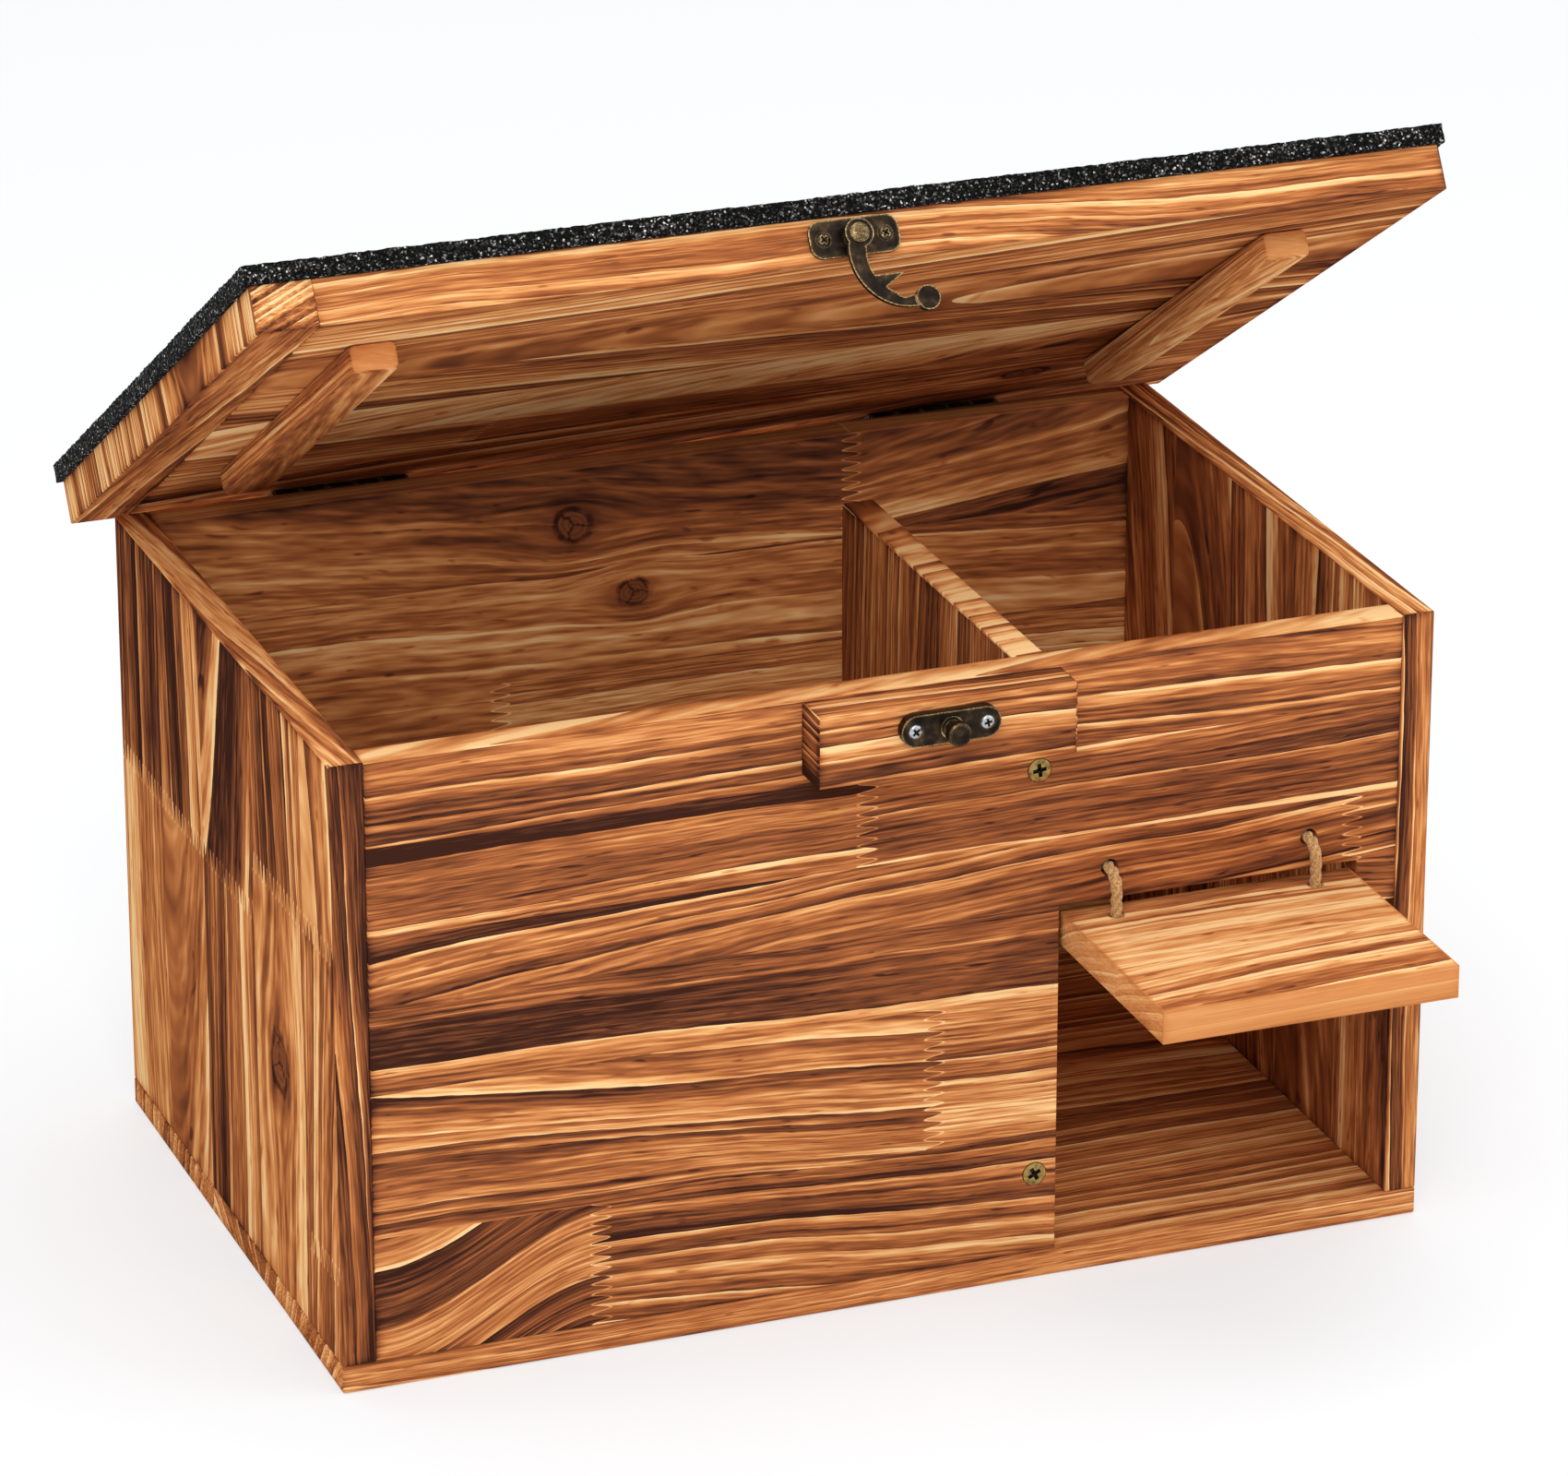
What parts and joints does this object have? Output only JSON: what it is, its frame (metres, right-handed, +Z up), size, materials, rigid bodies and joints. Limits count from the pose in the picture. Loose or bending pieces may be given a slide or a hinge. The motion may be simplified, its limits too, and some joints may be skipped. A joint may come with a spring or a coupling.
{
  "type": "hedgehog house",
  "caption": "Torched wooden hedgehog house with a hinged felt roof, a hook catch, an inner divider and a rope-hung entrance flap.",
  "frame": {"origin": "middle of the base board's underside, on the ground", "axes": "+X to the right along the front, +Y from front to back, +Z up; the lid stands open and the flap is raised, as in the picture"},
  "size_m": [0.428, 0.3678, 0.3935],
  "materials": {
    "torched_pine": "torched and brushed, satin",
    "plain_pine": "planed",
    "roof_felt": "mineral granules on bitumen",
    "antique_bronze": "dark antique bronze, worn at the edges",
    "zinc_screw": "zinc plated",
    "brass_screw": "yellow plated",
    "jute_rope": "twisted jute"
  },
  "bodies": {
    "house": {"base_board": "torched_pine", "left_side_panel": "torched_pine", "right_side_panel": "torched_pine", "front_panel": "torched_pine", "back_panel": "torched_pine", "divider_panel": "torched_pine", "base_screws": "zinc_screw", "divider_front_screws": "brass_screw", "divider_base_screws": "zinc_screw", "front_dowels": "plain_pine", "back_dowels": "plain_pine", "catch_block": "torched_pine", "block_screws": "zinc_screw", "catch_plate": "antique_bronze", "catch_stud": "antique_bronze", "catch_plate_screws": "zinc_screw", "left_hinge_body_leaf": "antique_bronze", "right_hinge_body_leaf": "antique_bronze", "left_hinge_pin": "antique_bronze", "right_hinge_pin": "antique_bronze", "hinge_body_screws": "antique_bronze", "left_rope_tie": "jute_rope", "right_rope_tie": "jute_rope"},
    "lid": {"lid_board": "torched_pine", "roof_felt": "roof_felt", "left_lid_batten": "plain_pine", "right_lid_batten": "plain_pine", "batten_screws": "zinc_screw", "left_hinge_lid_leaf": "antique_bronze", "right_hinge_lid_leaf": "antique_bronze", "hinge_lid_screws": "antique_bronze", "hook_plate": "antique_bronze", "hook_rivet": "antique_bronze", "hook_plate_screws": "antique_bronze"},
    "hook": {"latch_hook": "antique_bronze"},
    "flap": {"entrance_flap": "torched_pine"}
  },
  "joints": [
    {"name": "lid_hinge", "type": "hinge", "parent": "house", "child": "lid", "pos_m": [0, 0.1285, 0.2279], "axis": [-1, 0, 0], "range_deg": [-32, 68]},
    {"name": "hook_swing", "type": "hinge", "parent": "lid", "child": "hook", "pos_m": [-0.004, -0.09533, 0.38015], "axis": [0, -0.848, 0.5299], "range_deg": [-75, 14]},
    {"name": "flap_swing", "type": "hinge", "parent": "house", "child": "flap", "pos_m": [0.117, -0.1324, 0.13087], "axis": [-1, 0, 0], "range_deg": [-150, 45], "deforming": ["left_rope_tie", "right_rope_tie"]}
  ]
}
